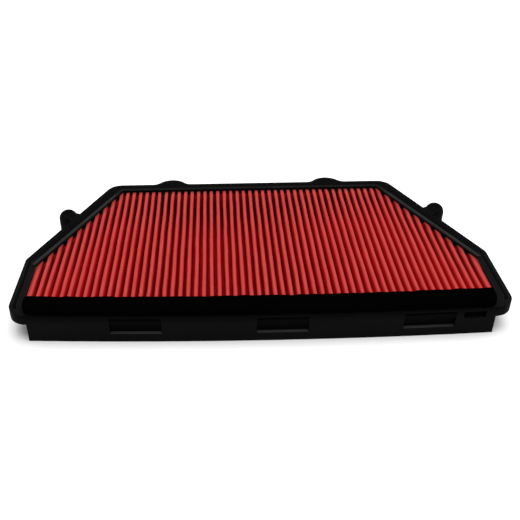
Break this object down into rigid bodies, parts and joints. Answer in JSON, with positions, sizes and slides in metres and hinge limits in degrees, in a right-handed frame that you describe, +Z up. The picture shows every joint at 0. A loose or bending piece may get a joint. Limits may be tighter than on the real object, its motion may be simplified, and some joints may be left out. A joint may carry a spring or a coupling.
{
  "type": "panel air filter",
  "caption": "Trapezoid panel air filter: pleated paper pack bonded into a moulded tray with a grooved sealing flange, foam front seal and locating studs.",
  "frame": {"origin": "middle of the underside: centred over the width and over the front-to-rear length, at the lowest face of the tray", "axes": "+X along the long front edge, +Y from the bowed front edge to the narrow rear edge, +Z up out of the dirty side of the paper"},
  "size_m": [0.3184, 0.1814, 0.0247],
  "materials": {
    "moulded_plastic": "fine satin texture",
    "filter_paper": "oiled fibrous filter paper",
    "foam": "matte closed-cell foam",
    "seal_rubber": "matte moulded rubber",
    "bond": "cast sealant, slightly glossy"
  },
  "bodies": {
    "root": {"frame": "moulded_plastic", "pleated_paper": "filter_paper", "front_seal": "foam", "rim_seal": "seal_rubber", "front_bond": "bond", "rear_bond": "bond", "left_bond": "bond", "right_bond": "bond"}
  },
  "joints": []
}
